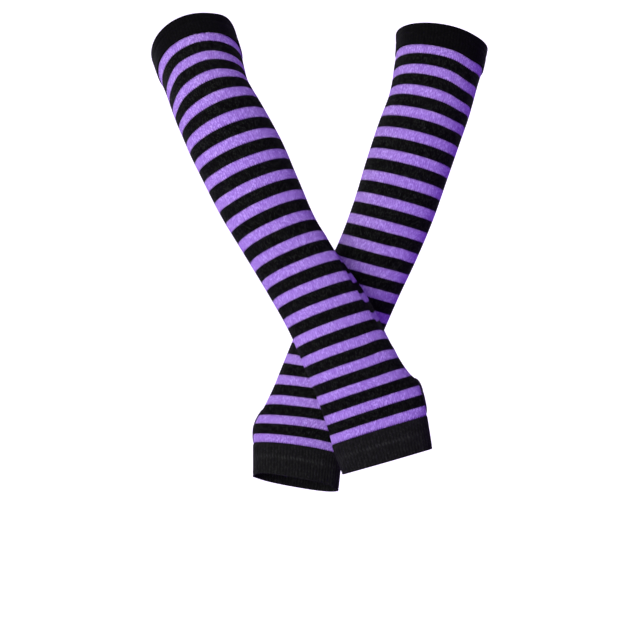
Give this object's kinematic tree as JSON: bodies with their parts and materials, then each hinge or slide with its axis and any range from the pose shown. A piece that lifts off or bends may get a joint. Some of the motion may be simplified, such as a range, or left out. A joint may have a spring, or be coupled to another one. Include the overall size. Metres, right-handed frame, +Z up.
{
  "type": "pair of knitted arm warmers",
  "caption": "Pair of long fingerless arm warmers in striped jersey knit, worn over bent arms that cross, with turned upper bands, ribbed hand cuffs and bound thumb holes.",
  "frame": {"origin": "midway between the centres of the two upper openings, where the wearer's upper arms carry the pair", "axes": "+Z up, against the hanging arms; +Y away from the viewer, from the front warmer to the back one; +X to the viewer's right"},
  "size_m": [0.3229, 0.1616, 0.4525],
  "materials": {
    "striped_knit": "soft matt jersey knit in purple and black stripes, faintly fuzzy",
    "black_rib": "matt black knitted rib, doubled and sewn down at the upper edge",
    "overlock_thread": "matt black overlock stitches laid close together"
  },
  "bodies": {
    "root": {"front_top_band": "black_rib", "front_sleeve_arm": "striped_knit", "front_sleeve_hand": "striped_knit", "front_thumb_binding": "overlock_thread", "front_hand_cuff": "black_rib", "back_top_band": "black_rib", "back_sleeve_arm": "striped_knit", "back_sleeve_hand": "striped_knit", "back_thumb_binding": "overlock_thread", "back_hand_cuff": "black_rib"}
  },
  "joints": []
}
